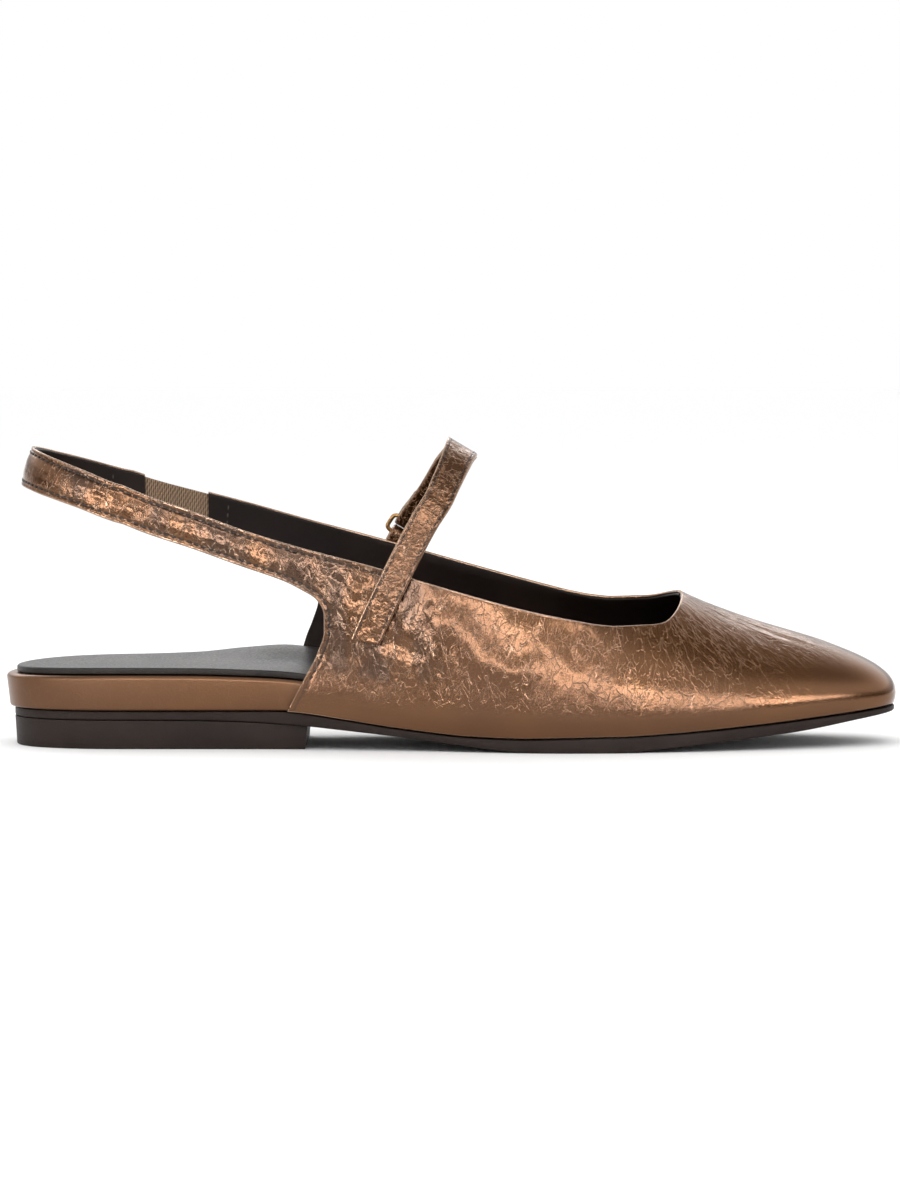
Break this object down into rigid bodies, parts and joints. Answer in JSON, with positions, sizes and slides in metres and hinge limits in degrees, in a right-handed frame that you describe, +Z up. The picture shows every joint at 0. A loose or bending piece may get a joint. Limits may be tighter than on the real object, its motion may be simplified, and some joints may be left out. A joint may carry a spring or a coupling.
{
  "type": "sling back flat shoe",
  "caption": "Right sling back flat with a soft square toe, an elastic at the sling, a narrow instep strap on a ring, a heel platform and a low heel block.",
  "frame": {"origin": "centre of the shoe's footprint box, on the floor under the heel and the ball", "axes": "+Z up, +X from the heel to the toe, +Y to the inner side of the foot"},
  "size_m": [0.2623, 0.079, 0.0905],
  "materials": {
    "upper_leather": "crinkled metallic bronze leather",
    "lining": "smooth dark brown leather",
    "sole": "satin dark brown",
    "elastic": "ribbed woven elastic",
    "ring_metal": "aged brass"
  },
  "bodies": {
    "root": {"outsole": "sole", "heel_block": "sole", "heel_wrap": "upper_leather", "insole": "lining", "upper": "upper_leather", "gore": "elastic", "instep_strap": "upper_leather", "buckle_tab": "upper_leather", "buckle_ring": "ring_metal"}
  },
  "joints": []
}
